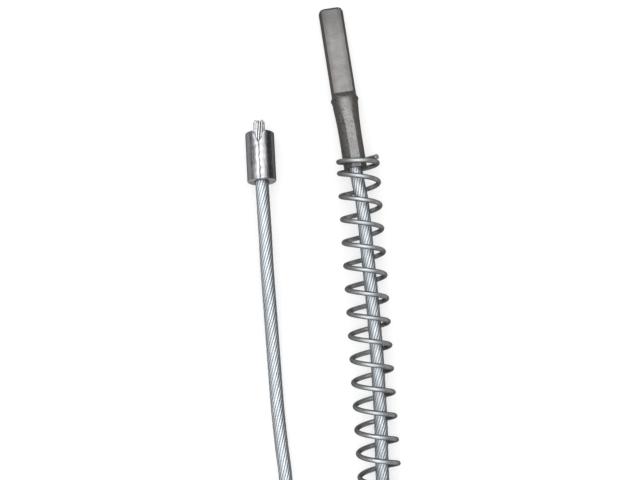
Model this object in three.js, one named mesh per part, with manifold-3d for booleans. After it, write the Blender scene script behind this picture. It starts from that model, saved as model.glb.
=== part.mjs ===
// Inner cable of a parking brake: a bare steel wire strand with a swaged tang fitting and a return
// spring at one end, a crimped stop at the other, and its spare length tied in a round coil.
// Millimetres, +Z up. The cable lies flat on Z = 0 with the tang pointing to +Y.
import * as THREE from 'three';
import { mergeVertices } from 'three/addons/utils/BufferGeometryUtils.js';
import Module from 'manifold-3d';

const wasm = await Module();
wasm.setup();

// Strand
const STRAND_DIAMETER = 3.2;
const STRAND_LAY = 21.1;            // length of one full twist of the wires
const STRAND_SIDES = 8;
const STRAND_STEP = 6;              // between the rings of a free strand
const FACE_GAP = 0.3;               // between end faces that meet
const BORE_CLEARANCE = 0.15;        // on the radius, round a strand in its bore
const OVERCUT = 1;                  // how far a cutter runs past the solid that it cuts

// Tang fitting: a round bar with two milled flats, a collar and a swaged eight-sided barrel
const TANG_DIAMETER = 5.92;
const TANG_THICKNESS = 3.7;
const TANG_LENGTH = 21.1;
const TANG_END_BEVEL = 0.9;
const SHOULDER_LENGTH = 1.3;
const COLLAR_DIAMETER = 6.25;
const COLLAR_LENGTH = 1.6;
const COLLAR_TAPER_LENGTH = 3.4;
const BARREL_LENGTH = 12.1;
const BARREL_CORNERS = 5.6;         // across the corners of the eight-sided part
const BARREL_FLATS = 5.2;           // across its flats
const BARREL_SIDES = 8;
const BARREL_TURN = 6;              // degrees that the top flat leans to +X
const FITTING_BORE_DEPTH = 17;
const MOUTH_CHAMFER = 0.3;
const COLLAR_CROWN = 0.05;          // how much smaller the collar's ends are, on the radius
const COLLAR_CROWN_AT = 0.6;        // from the collar's start to its widest place
const BARREL_RUN_IN = 0.8;          // where the pressed flats reach their full depth

// Return spring, wound left-handed with closed ends
const SPRING_DIAMETER = 10.34;
const SPRING_WIRE = 1.15;
const SPRING_PITCH = 5.5;
const SPRING_CLOSED_PITCH = 1.65;
const SPRING_CLOSED_TURNS = 0.7;
const SPRING_RUN_OUT = 0.9;         // turns over which the pitch opens
const SPRING_TURNS = 17.0455;
const SPRING_START_ANGLE = -27;     // degrees, of the cut wire end
const SPRING_STEPS_PER_TURN = 16;
const SPRING_SIDES = 8;
const SPRING_OVER_BARREL = 2.38;    // how far the spring's first turn is from the fitting's mouth
const SPRING_OFF_BARREL = 0.84;     // its axis, from the barrel's axis towards +X

// Stop: a sleeve wrapped and crimped on the strand, its seam on top
const STOP_DIAMETER = 6.9;
const STOP_LENGTH = 12;
const STOP_BORE = 3.0;
const STOP_TILT = 8;                // degrees, the strand side is raised
const SEAM_GAP = 0.16;
const SEAM_OFFSET = -0.25;
const SEAM_DEPTH = 0.45;
const LEFT_LIP = 1.0;               // width of the rounded lip on each side of the seam
const RIGHT_LIP = 1.7;
const LIP_CREST = 0.3;              // from the seam to the crest
const LIP_RISE = 0.02;
const STOP_MOUTH = 3.9;             // countersink round the strand, at the bearing face
const STOP_MOUTH_DEPTH = 0.45;
const NOTCH_WIDTH = 2.6;
const NOTCH_LENGTH = 3.2;

// Cut end of the strand: one core wire and two layers round it, 19 wires in all
const WIRE_DIAMETER = 0.54;
const WIRE_SIDES = 6;
const WIRE_STEPS = 7;
const CUT_END_LENGTH = 2.9;
const CUT_END_SPREAD = 0.14;        // how far the loose wire tips open, as a share of their radius
const CUT_END_RAGGED = 0.3;         // how uneven the cut is, up and down
const CUT_END_WAVE = 2.4;           // radians of that unevenness from one wire to the next
const WIRE_LAYERS = [
  { name: 'core', count: 1, radius: 0 },
  { name: 'middle', count: 6, radius: 1.12 * WIRE_DIAMETER },
  { name: 'outer', count: 12, radius: 2.24 * WIRE_DIAMETER },
];

// Coil of the spare length, two layers of turns side by side, and its ties
const COIL_CENTRE = [-1, -82.1];
const COIL_INNER_TURN = 14;         // radius of the innermost turn's centre line
const COIL_TURN_PITCH = 3.25;
const COIL_ROWS = 4;
const COIL_LAYERS = 2;
const COIL_SEGMENTS = 40;
const COIL_CORNER = 1.4;
const TIE_WIDTH = 2.6;
const TIE_THICKNESS = 0.6;
const TIE_CLEARANCE = 0.3;
const TIE_HEAD = [3.6, 4.4, 2.6];   // across the tie, along it and high
const TIE_ANGLES = { left: 200, right: 340 };

// Where the pieces lie
const TANG_END = [2.37, 72.62];
const FITTING_HEADING = [6.03, -39.28];
const FITTING_RISE = 2.95;          // from the tang's end to the mouth, which the spring holds up
const SPRING_HEADING = [4.65, -70.03];
const STOP_START = [-14.53, 42.26];
const STOP_HEADING = [0.69, -11.95];

// Route of the strand from the fitting's mouth through the spring to the coil
const ROUTE_FROM_FITTING = [
  [9.05, 29.9, 5.05], [9.8, 26.2, 5.05], [10.5, 20.2, 4.75], [11.1, 13.9, 4.4], [11.7, 8.2, 4.05],
  [12.4, 1.1, 3.75], [13.0, -6.0, 3.6], [13.4, -11.2, 3.55], [13.8, -18.2, 3.5], [14.1, -23.4, 3.4],
  [14.3, -28.1, 3.3], [14.4, -33.2, 3.1], [14.6, -39.3, 2.95], [14.9, -46.2, 2.9], [15.3, -52.5, 3.0],
  [15.7, -56.8, 3.5], [16.45, -61.5, 4.3],
];
// Route from the stop to the coil
const ROUTE_FROM_STOP = [
  [-13.58, 26.6, 5.35], [-13.33, 22.8, 5.4], [-13.0, 17.8, 5.2], [-12.7, 11.9, 4.7], [-12.3, 5.8, 4.0],
  [-11.8, -1.0, 3.1], [-11.3, -7.9, 2.3], [-10.7, -16.0, 1.8], [-10.1, -23.5, 1.62], [-9.2, -31.7, 1.62],
  [-8.2, -39.9, 1.62], [-8.3, -45.2, 1.62], [-10.1, -50.7, 1.65], [-13.0, -55.7, 1.75],
  [-14.6, -58.4, 1.9],
];

const FITTING_LENGTH = TANG_LENGTH + SHOULDER_LENGTH + COLLAR_LENGTH + COLLAR_TAPER_LENGTH + BARREL_LENGTH;
const STRAND_RADIUS = STRAND_DIAMETER / 2;
const degrees = THREE.MathUtils.degToRad;

const STEEL = { color: 0x9c9a98, roughness: 0.55, metalness: 1 };
const SPRING_STEEL = { color: 0x8a8884, roughness: 0.35, metalness: 1 };
const ZINC = { color: 0xc3cbd0, roughness: 0.35, metalness: 1 };
const CRIMP_STEEL = { color: 0x9a989c, roughness: 0.3, metalness: 1 };
const TIE_PLASTIC = { color: 0x1c1c1d, roughness: 0.6, metalness: 0 };

function named(name, geometry, finish) {
  const mesh = new THREE.Mesh(geometry, new THREE.MeshStandardMaterial(finish));
  mesh.name = name;
  return mesh;
}

function toSolid(geometry) {
  const bare = new THREE.BufferGeometry();
  bare.setAttribute('position', geometry.attributes.position.clone());
  if (geometry.index) bare.setIndex(geometry.index.clone());
  const merged = mergeVertices(bare, 1e-4);
  const kept = [];
  const index = merged.index.array;
  for (let i = 0; i < index.length; i += 3) {
    const [a, b, c] = [index[i], index[i + 1], index[i + 2]];
    if (a !== b && b !== c && c !== a) kept.push(a, b, c);
  }
  return new wasm.Manifold(new wasm.Mesh({
    numProp: 3,
    vertProperties: new Float32Array(merged.attributes.position.array),
    triVerts: new Uint32Array(kept),
  }));
}

function toGeometry(solid) {
  const mesh = solid.getMesh();
  const geometry = new THREE.BufferGeometry();
  geometry.setAttribute('position', new THREE.BufferAttribute(new Float32Array(mesh.vertProperties), 3));
  geometry.setIndex(new THREE.BufferAttribute(new Uint32Array(mesh.triVerts), 1));
  geometry.computeVertexNormals();
  return geometry;
}

// Turned solid round the local Z axis, from [radius, z] pairs
function turned(profile, segments) {
  const lathe = new THREE.LatheGeometry(profile.map(([r, z]) => new THREE.Vector2(r, z)), segments);
  return lathe.rotateX(Math.PI / 2);
}

// Puts a piece modelled along local Z, with local Y upwards, at a start point and a heading
function layAlong(mesh, start, heading) {
  const along = heading.clone().normalize();
  const across = new THREE.Vector3(0, 0, 1).cross(along).normalize();
  const up = new THREE.Vector3().crossVectors(along, across);
  mesh.quaternion.setFromRotationMatrix(new THREE.Matrix4().makeBasis(across, up, along));
  mesh.position.copy(start);
  return mesh;
}

// A round bar or wire along a curve, closed at both ends
function barAlong(curve, radius, sides, steps) {
  const section = new THREE.Shape();
  for (let i = 0; i < sides; i += 1) {
    const angle = (2 * Math.PI * (i + 0.5)) / sides;
    const corner = [radius * Math.cos(angle), radius * Math.sin(angle)];
    if (i === 0) section.moveTo(...corner);
    else section.lineTo(...corner);
  }
  section.closePath();
  return new THREE.ExtrudeGeometry(section, { steps, extrudePath: curve });
}

function flatBox(size, centre) {
  return new THREE.BoxGeometry(...size).translate(...centre);
}

// Tang fitting
function tangFitting() {
  const tangR = TANG_DIAMETER / 2;
  const collarR = COLLAR_DIAMETER / 2;
  const barrelR = BARREL_CORNERS / 2;
  const collarStart = TANG_LENGTH + SHOULDER_LENGTH;
  const collarEnd = collarStart + COLLAR_LENGTH;
  const barrelStart = collarEnd + COLLAR_TAPER_LENGTH;
  const boreR = STRAND_RADIUS + BORE_CLEARANCE;
  const boreEnd = FITTING_LENGTH - FITTING_BORE_DEPTH;
  const profile = [
    [0, 0],
    [tangR - TANG_END_BEVEL, 0],
    [tangR, TANG_END_BEVEL],
    [tangR, TANG_LENGTH],
    [collarR - COLLAR_CROWN, collarStart],
    [collarR, collarStart + COLLAR_CROWN_AT],
    [collarR - COLLAR_CROWN, collarEnd],
    [barrelR, barrelStart],
    [barrelR, FITTING_LENGTH],
    [boreR + MOUTH_CHAMFER, FITTING_LENGTH],
    [boreR, FITTING_LENGTH - MOUTH_CHAMFER],
    [boreR, boreEnd],
    [0, boreEnd - boreR / 2],
  ];
  let solid = toSolid(turned(profile, 32));
  for (const side of [1, -1]) {
    solid = solid.subtract(toSolid(tangFlatCutter(side)));
  }
  for (let i = 0; i < BARREL_SIDES; i += 1) {
    const angle = degrees((360 * i) / BARREL_SIDES - BARREL_TURN);
    solid = solid.subtract(toSolid(barrelFlatCutter(collarEnd, barrelStart).rotateZ(angle)));
  }
  return named('tang_fitting', toGeometry(solid), STEEL);
}

// What the mill removes on one side of the tang, with the end bevel and the sloping shoulder
function tangFlatCutter(side) {
  const half = TANG_THICKNESS / 2;
  const clear = COLLAR_DIAMETER;
  const outline = new THREE.Shape([
    new THREE.Vector2(-OVERCUT, half - TANG_END_BEVEL - OVERCUT),
    new THREE.Vector2(TANG_END_BEVEL, half),
    new THREE.Vector2(TANG_LENGTH, half),
    new THREE.Vector2(TANG_LENGTH + SHOULDER_LENGTH, COLLAR_DIAMETER / 2),
    new THREE.Vector2(TANG_LENGTH + SHOULDER_LENGTH, clear),
    new THREE.Vector2(-OVERCUT, clear),
  ]);
  const cutter = new THREE.ExtrudeGeometry(outline, { depth: 2 * clear, bevelEnabled: false });
  cutter.translate(0, 0, -clear).rotateY(-Math.PI / 2);
  return side > 0 ? cutter : cutter.rotateZ(Math.PI);
}

// What swaging presses in on one side of the barrel, running out into the collar
function barrelFlatCutter(collarEnd, barrelStart) {
  const half = BARREL_FLATS / 2;
  const clear = COLLAR_DIAMETER;
  const outline = new THREE.Shape([
    new THREE.Vector2(collarEnd, COLLAR_DIAMETER / 2),
    new THREE.Vector2(barrelStart + BARREL_RUN_IN, half),
    new THREE.Vector2(FITTING_LENGTH + OVERCUT, half),
    new THREE.Vector2(FITTING_LENGTH + OVERCUT, clear),
    new THREE.Vector2(collarEnd, clear),
  ]);
  const cutter = new THREE.ExtrudeGeometry(outline, { depth: 2 * clear, bevelEnabled: false });
  return cutter.translate(0, 0, -clear).rotateY(-Math.PI / 2);
}

// Return spring
class SpringPath extends THREE.Curve {
  openTurns(turn) {
    const t = (turn - SPRING_CLOSED_TURNS) / SPRING_RUN_OUT;
    if (t <= 0) return 0;
    if (t < 1) return SPRING_RUN_OUT * (t ** 3 - t ** 4 / 2);
    return SPRING_RUN_OUT * (t - 0.5);
  }

  height(turn) {
    const closing = SPRING_TURNS - 2 * SPRING_CLOSED_TURNS - SPRING_RUN_OUT;
    const opened = this.openTurns(turn) - this.openTurns(turn - closing);
    return SPRING_CLOSED_PITCH * turn + (SPRING_PITCH - SPRING_CLOSED_PITCH) * opened;
  }

  getPoint(t, target = new THREE.Vector3()) {
    const turn = t * SPRING_TURNS;
    const angle = degrees(SPRING_START_ANGLE - 360 * turn);
    const r = (SPRING_DIAMETER - SPRING_WIRE) / 2;
    return target.set(r * Math.cos(angle), r * Math.sin(angle), this.height(turn));
  }
}

// The wire's rings are set out square to the coil's radius, so that the section doesn't twist
function returnSpring() {
  const path = new SpringPath();
  const steps = Math.round(SPRING_TURNS * SPRING_STEPS_PER_TURN);
  const positions = [];
  const index = [];
  for (let i = 0; i <= steps; i += 1) {
    const centre = path.getPoint(i / steps);
    const out = new THREE.Vector3(centre.x, centre.y, 0).normalize();
    for (let k = 0; k < SPRING_SIDES; k += 1) {
      const angle = (2 * Math.PI * (k + 0.5)) / SPRING_SIDES;
      const r = SPRING_WIRE / 2;
      positions.push(
        centre.x + out.x * r * Math.cos(angle),
        centre.y + out.y * r * Math.cos(angle),
        centre.z + r * Math.sin(angle),
      );
    }
  }
  const at = (i, k) => i * SPRING_SIDES + (k % SPRING_SIDES);
  for (let i = 0; i < steps; i += 1) {
    for (let k = 0; k < SPRING_SIDES; k += 1) {
      index.push(at(i, k), at(i, k + 1), at(i + 1, k), at(i, k + 1), at(i + 1, k + 1), at(i + 1, k));
    }
  }
  for (let k = 1; k < SPRING_SIDES - 1; k += 1) {
    index.push(at(0, 0), at(0, k + 1), at(0, k));
    index.push(at(steps, 0), at(steps, k), at(steps, k + 1));
  }
  const geometry = new THREE.BufferGeometry();
  geometry.setAttribute('position', new THREE.Float32BufferAttribute(positions, 3));
  geometry.setIndex(index);
  geometry.computeVertexNormals();
  return named('return_spring', geometry, SPRING_STEEL);
}

// Stop
function stopFerrule() {
  const outer = STOP_DIAMETER / 2;
  const bore = STOP_BORE / 2;
  const seamLeft = SEAM_OFFSET - SEAM_GAP / 2;
  const seamRight = SEAM_OFFSET + SEAM_GAP / 2;
  const lipRight = SEAM_OFFSET + RIGHT_LIP;
  const lipLeft = SEAM_OFFSET - LEFT_LIP;
  const crest = outer + LIP_RISE;
  const onCircle = (r, x) => Math.sqrt(r * r - x * x);
  const section = new THREE.Shape();
  section.moveTo(seamRight, onCircle(bore, seamRight));
  section.lineTo(seamRight, outer - SEAM_DEPTH);
  section.quadraticCurveTo(SEAM_OFFSET + LIP_CREST, crest, lipRight, onCircle(outer, lipRight));
  section.absarc(0, 0, outer, Math.acos(lipRight / outer), Math.acos(lipLeft / outer) - 2 * Math.PI, true);
  section.quadraticCurveTo(SEAM_OFFSET - LIP_CREST, crest, seamLeft, outer - SEAM_DEPTH);
  section.lineTo(seamLeft, onCircle(bore, seamLeft));
  section.absarc(0, 0, bore, Math.acos(seamLeft / bore), Math.acos(seamRight / bore) + 2 * Math.PI, false);
  const sleeve = new THREE.ExtrudeGeometry(section, {
    depth: STOP_LENGTH, bevelEnabled: false, curveSegments: 30,
  });
  const notch = new THREE.ExtrudeGeometry(new THREE.Shape([
    new THREE.Vector2(SEAM_OFFSET - NOTCH_WIDTH / 2, -OVERCUT),
    new THREE.Vector2(SEAM_OFFSET + NOTCH_WIDTH / 2, -OVERCUT),
    new THREE.Vector2(SEAM_OFFSET + NOTCH_WIDTH / 2, 0),
    new THREE.Vector2(SEAM_OFFSET, NOTCH_LENGTH),
    new THREE.Vector2(SEAM_OFFSET - NOTCH_WIDTH / 2, 0),
  ]), { depth: STOP_DIAMETER, bevelEnabled: false });
  notch.rotateX(Math.PI / 2).translate(0, STOP_DIAMETER, 0);
  const mouth = turned([
    [0, STOP_LENGTH - STOP_MOUTH_DEPTH],
    [bore, STOP_LENGTH - STOP_MOUTH_DEPTH],
    [STOP_MOUTH / 2, STOP_LENGTH],
    [STOP_MOUTH / 2, STOP_LENGTH + OVERCUT],
    [0, STOP_LENGTH + OVERCUT],
  ], 32);
  const solid = toSolid(sleeve).subtract(toSolid(notch)).subtract(toSolid(mouth));
  return named('stop_ferrule', toGeometry(solid), CRIMP_STEEL);
}

// Wires of the cut end
class WirePath extends THREE.Curve {
  constructor(radius, startAngle, start, end) {
    super();
    Object.assign(this, { radius, startAngle, start, end });
  }

  getPoint(t, target = new THREE.Vector3()) {
    const z = THREE.MathUtils.lerp(this.start, this.end, t);
    const loose = Math.max(0, -z / CUT_END_LENGTH);
    const r = this.radius * (1 + CUT_END_SPREAD * loose ** 2);
    const angle = this.startAngle + (2 * Math.PI * z) / STRAND_LAY;
    return target.set(r * Math.cos(angle), r * Math.sin(angle), z);
  }
}

function cutEndWires() {
  const wires = [];
  for (const { name, count, radius } of WIRE_LAYERS) {
    for (let i = 0; i < count; i += 1) {
      const start = -CUT_END_LENGTH + CUT_END_RAGGED * Math.sin(CUT_END_WAVE * i + count);
      const path = new WirePath(radius, (2 * Math.PI * i) / count, start, STOP_LENGTH);
      const geometry = barAlong(path, WIRE_DIAMETER / 2, WIRE_SIDES, WIRE_STEPS);
      const number = String(i + 1).padStart(2, '0');
      wires.push(named(`${name}_wire_${number}`, geometry, ZINC));
    }
  }
  return wires;
}

// Strand
function strandAlong(name, points) {
  const curve = new THREE.CatmullRomCurve3(points, false, 'centripetal');
  const steps = Math.max(4, Math.round(curve.getLength() / STRAND_STEP));
  return named(name, barAlong(curve, STRAND_RADIUS, STRAND_SIDES, steps), ZINC);
}

function strandInFitting() {
  const length = FITTING_BORE_DEPTH - FACE_GAP;
  const line = new THREE.LineCurve3(
    new THREE.Vector3(0, 0, FITTING_LENGTH - length),
    new THREE.Vector3(0, 0, FITTING_LENGTH),
  );
  return named('cable_end_in_fitting', barAlong(line, STRAND_RADIUS, STRAND_SIDES, 1), ZINC);
}

// Coil and ties
const COIL_BASE = TIE_THICKNESS + TIE_CLEARANCE;
const COIL_HEIGHT = STRAND_DIAMETER + (COIL_LAYERS - 1) * COIL_TURN_PITCH;
const COIL_INNER = COIL_INNER_TURN - STRAND_RADIUS;
const COIL_OUTER = COIL_INNER_TURN + (COIL_ROWS - 1) * COIL_TURN_PITCH + STRAND_RADIUS;

function coil() {
  const top = COIL_BASE + COIL_HEIGHT;
  const corner = COIL_CORNER;
  const edge = (r, z, from) => [from, from + 45, from + 90].map((angle) => [
    r + corner * Math.cos(degrees(angle)),
    z + corner * Math.sin(degrees(angle)),
  ]);
  const profile = [
    ...edge(COIL_OUTER - corner, COIL_BASE + corner, -90),
    ...edge(COIL_OUTER - corner, top - corner, 0),
    ...edge(COIL_INNER + corner, top - corner, 90),
    ...edge(COIL_INNER + corner, COIL_BASE + corner, 180),
  ];
  profile.push(profile[0]);
  const ring = named('cable_coil', turned(profile, COIL_SEGMENTS), ZINC);
  ring.position.set(...COIL_CENTRE, 0);
  return ring;
}

// A strap round the coil's section, with its head on top
function coilTie(name, angle) {
  const inner = new THREE.Vector2(COIL_INNER - TIE_CLEARANCE, COIL_BASE - TIE_CLEARANCE);
  const size = [
    COIL_OUTER - COIL_INNER + 2 * TIE_CLEARANCE,
    COIL_HEIGHT + 2 * TIE_CLEARANCE,
  ];
  const strap = roundedRectangle(
    inner.x - TIE_THICKNESS, inner.y - TIE_THICKNESS,
    size[0] + 2 * TIE_THICKNESS, size[1] + 2 * TIE_THICKNESS, COIL_CORNER,
  );
  strap.holes.push(roundedRectangle(inner.x, inner.y, size[0], size[1], COIL_CORNER / 2));
  const band = new THREE.ExtrudeGeometry(strap, { depth: TIE_WIDTH, bevelEnabled: false, curveSegments: 3 });
  band.translate(0, 0, -TIE_WIDTH / 2);
  const headX = inner.x + size[0] / 2;
  const headY = inner.y + size[1] + TIE_HEAD[2] / 2;
  const head = flatBox([TIE_HEAD[1], TIE_HEAD[2], TIE_HEAD[0]], [headX, headY, 0]);
  const tie = named(name, toGeometry(toSolid(band).add(toSolid(head))), TIE_PLASTIC);
  tie.rotation.set(Math.PI / 2, 0, degrees(angle), 'ZXY');
  tie.position.set(...COIL_CENTRE, 0);
  return tie;
}

function roundedRectangle(x, y, width, height, radius) {
  const shape = new THREE.Shape();
  shape.moveTo(x + radius, y);
  shape.lineTo(x + width - radius, y);
  shape.absarc(x + width - radius, y + radius, radius, -Math.PI / 2, 0, false);
  shape.lineTo(x + width, y + height - radius);
  shape.absarc(x + width - radius, y + height - radius, radius, 0, Math.PI / 2, false);
  shape.lineTo(x + radius, y + height);
  shape.absarc(x + radius, y + height - radius, radius, Math.PI / 2, Math.PI, false);
  shape.lineTo(x, y + radius);
  shape.absarc(x + radius, y + radius, radius, Math.PI, 1.5 * Math.PI, false);
  return shape;
}

// Assembly: the tang rests on its end and the barrel in the spring, which lies on the table
const springAxisHeight = SPRING_DIAMETER / 2;
const tangStart = new THREE.Vector3(...TANG_END, TANG_THICKNESS / 2);
const fittingHeading = new THREE.Vector3(...FITTING_HEADING, FITTING_RISE).setLength(FITTING_LENGTH);
const stopTilt = degrees(STOP_TILT);
const stopHeading = new THREE.Vector3(...STOP_HEADING, 0).setLength(Math.cos(stopTilt));
stopHeading.z = Math.sin(stopTilt);
const stopStart = new THREE.Vector3(...STOP_START, (STOP_DIAMETER / 2) * Math.cos(stopTilt));
const springHeading = new THREE.Vector3(...SPRING_HEADING, 0);

const beyond = (start, heading, distance) => start.clone().addScaledVector(
  heading.clone().normalize(), distance,
);
const mouth = beyond(tangStart, fittingHeading, FITTING_LENGTH + FACE_GAP);
const besideBarrel = new THREE.Vector3(0, 0, 1).cross(fittingHeading);
const springStart = beyond(
  beyond(tangStart, fittingHeading, FITTING_LENGTH - SPRING_OVER_BARREL),
  besideBarrel, SPRING_OFF_BARREL,
).setZ(springAxisHeight);
const stopFace = beyond(stopStart, stopHeading, STOP_LENGTH + FACE_GAP);
const toPoints = (route) => route.map((point) => new THREE.Vector3(...point));

const ownPieces = new THREE.Group();
ownPieces.add(
  layAlong(tangFitting(), tangStart, fittingHeading),
  layAlong(strandInFitting(), tangStart, fittingHeading),
  layAlong(returnSpring(), springStart, springHeading),
  layAlong(stopFerrule(), stopStart, stopHeading),
  ...cutEndWires().map((wire) => layAlong(wire, stopStart, stopHeading)),
);
const freeStrand = new THREE.Group();
freeStrand.add(
  strandAlong('cable_from_fitting', [mouth, ...toPoints(ROUTE_FROM_FITTING)]),
  strandAlong('cable_from_stop', [stopFace, ...toPoints(ROUTE_FROM_STOP)]),
  coil(),
  ...Object.entries(TIE_ANGLES).map(([side, angle]) => coilTie(`coil_tie_${side}`, angle)),
);

// The origin is on the table under the middle of the fittings and the spring
const cable = new THREE.Group();
cable.add(ownPieces, freeStrand);
cable.updateMatrixWorld(true);
const middle = new THREE.Box3().setFromObject(ownPieces, true).getCenter(new THREE.Vector3());
cable.position.set(-middle.x, -middle.y, 0);
cable.updateMatrixWorld(true);

export default cable;
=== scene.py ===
"""A parking brake cable, dressed for its picture: a bare steel strand with a swaged tang fitting and
a return spring at one end, and a crimped stop at the other, its spare length coiled and tied.
Lengths are in metres in the row frame. Only the strand's route and coil are in millimetres on the
table."""

import math

import bpy
import numpy
from mathutils import Matrix, Vector


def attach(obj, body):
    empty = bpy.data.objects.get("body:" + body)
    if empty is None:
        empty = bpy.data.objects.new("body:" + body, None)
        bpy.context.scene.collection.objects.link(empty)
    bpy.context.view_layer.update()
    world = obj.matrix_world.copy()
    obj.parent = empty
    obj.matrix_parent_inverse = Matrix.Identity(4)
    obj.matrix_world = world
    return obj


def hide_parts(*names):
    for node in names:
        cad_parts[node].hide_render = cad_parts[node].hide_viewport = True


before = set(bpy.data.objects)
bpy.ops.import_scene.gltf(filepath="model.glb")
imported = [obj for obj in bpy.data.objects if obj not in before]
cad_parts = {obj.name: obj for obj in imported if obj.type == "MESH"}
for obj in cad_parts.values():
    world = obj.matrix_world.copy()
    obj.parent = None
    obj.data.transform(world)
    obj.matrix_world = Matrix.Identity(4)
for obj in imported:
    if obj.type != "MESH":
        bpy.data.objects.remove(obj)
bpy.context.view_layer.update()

# Sizes
MM = 0.001
TABLE_SHIFT = Vector((-0.7907737, -12.0481680, 0.0))
STRAND_DIAMETER = 3.2 * MM
STRAND_LAY = 21.1 * MM
STRAND_WIRES = 12


def on_table(point):
    """A point of the part's route, from millimetres on the table to metres in the row frame."""
    return (Vector(point) + TABLE_SHIFT) * MM


# Camera
CAMERA_PLACE = (-0.000881, -0.0120482, 0.2774)
CAMERA_LEAN = 3.5           # degrees from straight down
CAMERA_LENS = 64.97


def add_camera():
    """Looks down from above, leaning a little towards the cut wires and the tang."""
    camera_data = bpy.data.cameras.new("camera")
    camera_data.lens = CAMERA_LENS
    camera_data.sensor_width = 36
    camera = bpy.data.objects.new("camera", camera_data)
    camera.location = CAMERA_PLACE
    camera.rotation_euler = (math.radians(CAMERA_LEAN), 0, 0)
    bpy.context.scene.collection.objects.link(camera)
    bpy.context.scene.camera = camera


add_camera()

# Strand
FITTING_MOUTH = (8.3471, 33.6845, 4.7741)
FITTING_WAY = Vector((0.151319, -0.985709, 0.074029))
STOP_FACE = (-13.845, 30.3965, 5.0865)
STOP_WAY = Vector((0.057084, -0.988621, 0.139173))
ROUTE_FROM_FITTING = [
    (9.05, 29.9, 5.05), (9.8, 26.2, 5.05), (10.5, 20.2, 4.75), (11.1, 13.9, 4.4),
    (11.7, 8.2, 4.05), (12.4, 1.1, 3.75), (13.0, -6.0, 3.6), (13.4, -11.2, 3.55),
    (13.8, -18.2, 3.5), (14.1, -23.4, 3.4), (14.3, -28.1, 3.3), (14.4, -33.2, 3.1),
    (14.6, -39.3, 2.95), (14.9, -46.2, 2.9), (15.3, -52.5, 3.0), (15.7, -56.8, 3.5),
    (16.45, -61.5, 4.3),
]
ROUTE_FROM_STOP = [
    (-13.58, 26.6, 5.35), (-13.33, 22.8, 5.4), (-13.0, 17.8, 5.2), (-12.7, 11.9, 4.7),
    (-12.3, 5.8, 4.0), (-11.8, -1.0, 3.1), (-11.3, -7.9, 2.3), (-10.7, -16.0, 1.8),
    (-10.1, -23.5, 1.62), (-9.2, -31.7, 1.62), (-8.2, -39.9, 1.62), (-8.3, -45.2, 1.62),
    (-10.1, -50.7, 1.65), (-13.0, -55.7, 1.75), (-14.6, -58.4, 1.9),
]
COIL_CENTRE = (-1.0, -82.1)
COIL_OUTER_TURN = 23.75
COIL_TURN_PITCH = 3.25
COIL_ROWS = 4
COIL_LOWER_LAYER = 2.5
COIL_START = 150        # degrees from X
COIL_TURNS = 7.68
POINTS_PER_TURN = 24
STEP_IN_FROM = 0.5      # the part of each turn where it steps over to the next row
STEP_OUT_FROM = 0.2
STEP_LENGTH = 0.5
CLIMB_LENGTH = 0.5      # the part of a turn that climbs to the upper layer


def smooth(share):
    """From 0 to 1 with no kink at either end."""
    share = min(max(share, 0), 1)
    return share * share * (3 - 2 * share)


def coil_point(turn):
    """Inwards along the lower layer, up beside the innermost turn, and outwards again on top."""
    innermost = COIL_ROWS - 1
    lower_turns = innermost + 1 - CLIMB_LENGTH
    if turn < lower_turns:
        part = turn - math.floor(turn)
        row = min(innermost, math.floor(turn) + smooth((part - STEP_IN_FROM) / STEP_LENGTH))
        lift = 0
    elif turn < innermost + 1:
        climb = smooth((turn - lower_turns) / CLIMB_LENGTH)
        row = innermost - 1 + climb + math.cos(climb * math.pi / 2)
        lift = math.sin(climb * math.pi / 2)
    else:
        upper = turn - innermost - 1
        part = upper - math.floor(upper)
        stepped = math.floor(upper) + smooth((part - STEP_OUT_FROM) / STEP_LENGTH)
        row = max(0, innermost - stepped)
        lift = 1
    angle = math.radians(COIL_START) + 2 * math.pi * turn
    radius = COIL_OUTER_TURN - COIL_TURN_PITCH * row
    x = COIL_CENTRE[0] + radius * math.cos(angle)
    y = COIL_CENTRE[1] + radius * math.sin(angle)
    return (x, y, COIL_LOWER_LAYER + COIL_TURN_PITCH * lift)


def coil_points():
    """The turns, from the stop's lead to the fitting's."""
    steps = math.ceil(COIL_TURNS * POINTS_PER_TURN)
    return [coil_point(COIL_TURNS * step / steps) for step in range(steps + 1)]


FINER = 4               # a smooth line has about this many points to each that is kept


def through_points(points, spacing):
    """A smooth line through the points, with its own points evenly apart."""
    points = [Vector(point) for point in points]
    before = points[0] * 2 - points[1]
    after = points[-1] * 2 - points[-2]
    held = [before, *points, after]
    fine = []
    for i in range(1, len(held) - 2):
        a, b, c, d = held[i - 1:i + 3]
        length = (c - b).length
        start_slope = ((b - a).normalized() + (c - b).normalized()).normalized() * length
        end_slope = ((c - b).normalized() + (d - c).normalized()).normalized() * length
        count = max(2, math.ceil(length / (spacing / FINER)))
        for step in range(count):
            t = step / count
            fine.append(
                b * (2 * t ** 3 - 3 * t ** 2 + 1)
                + start_slope * (t ** 3 - 2 * t ** 2 + t)
                + c * (3 * t ** 2 - 2 * t ** 3)
                + end_slope * (t ** 3 - t ** 2)
            )
    fine.append(points[-1])
    return fine


def evenly(line, spacing_at):
    """The line's points again, each at the distance that spacing_at gives for its place."""
    kept = [line[0]]
    walked = 0
    for a, b in zip(line, line[1:]):
        walked += (b - a).length
        if walked >= spacing_at(b):
            kept.append(b)
            walked = 0
    if (line[-1] - kept[-1]).length > 1e-6:
        kept.append(line[-1])
    return kept


INSIDE_END = 1.0        # how far the strand's mesh runs on inside each end piece
SEEN_SPACING = 0.6 * MM
COIL_SPACING = 1.5 * MM
SEEN_FROM = -0.078      # along Y, the camera sees the strand from here on


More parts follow.
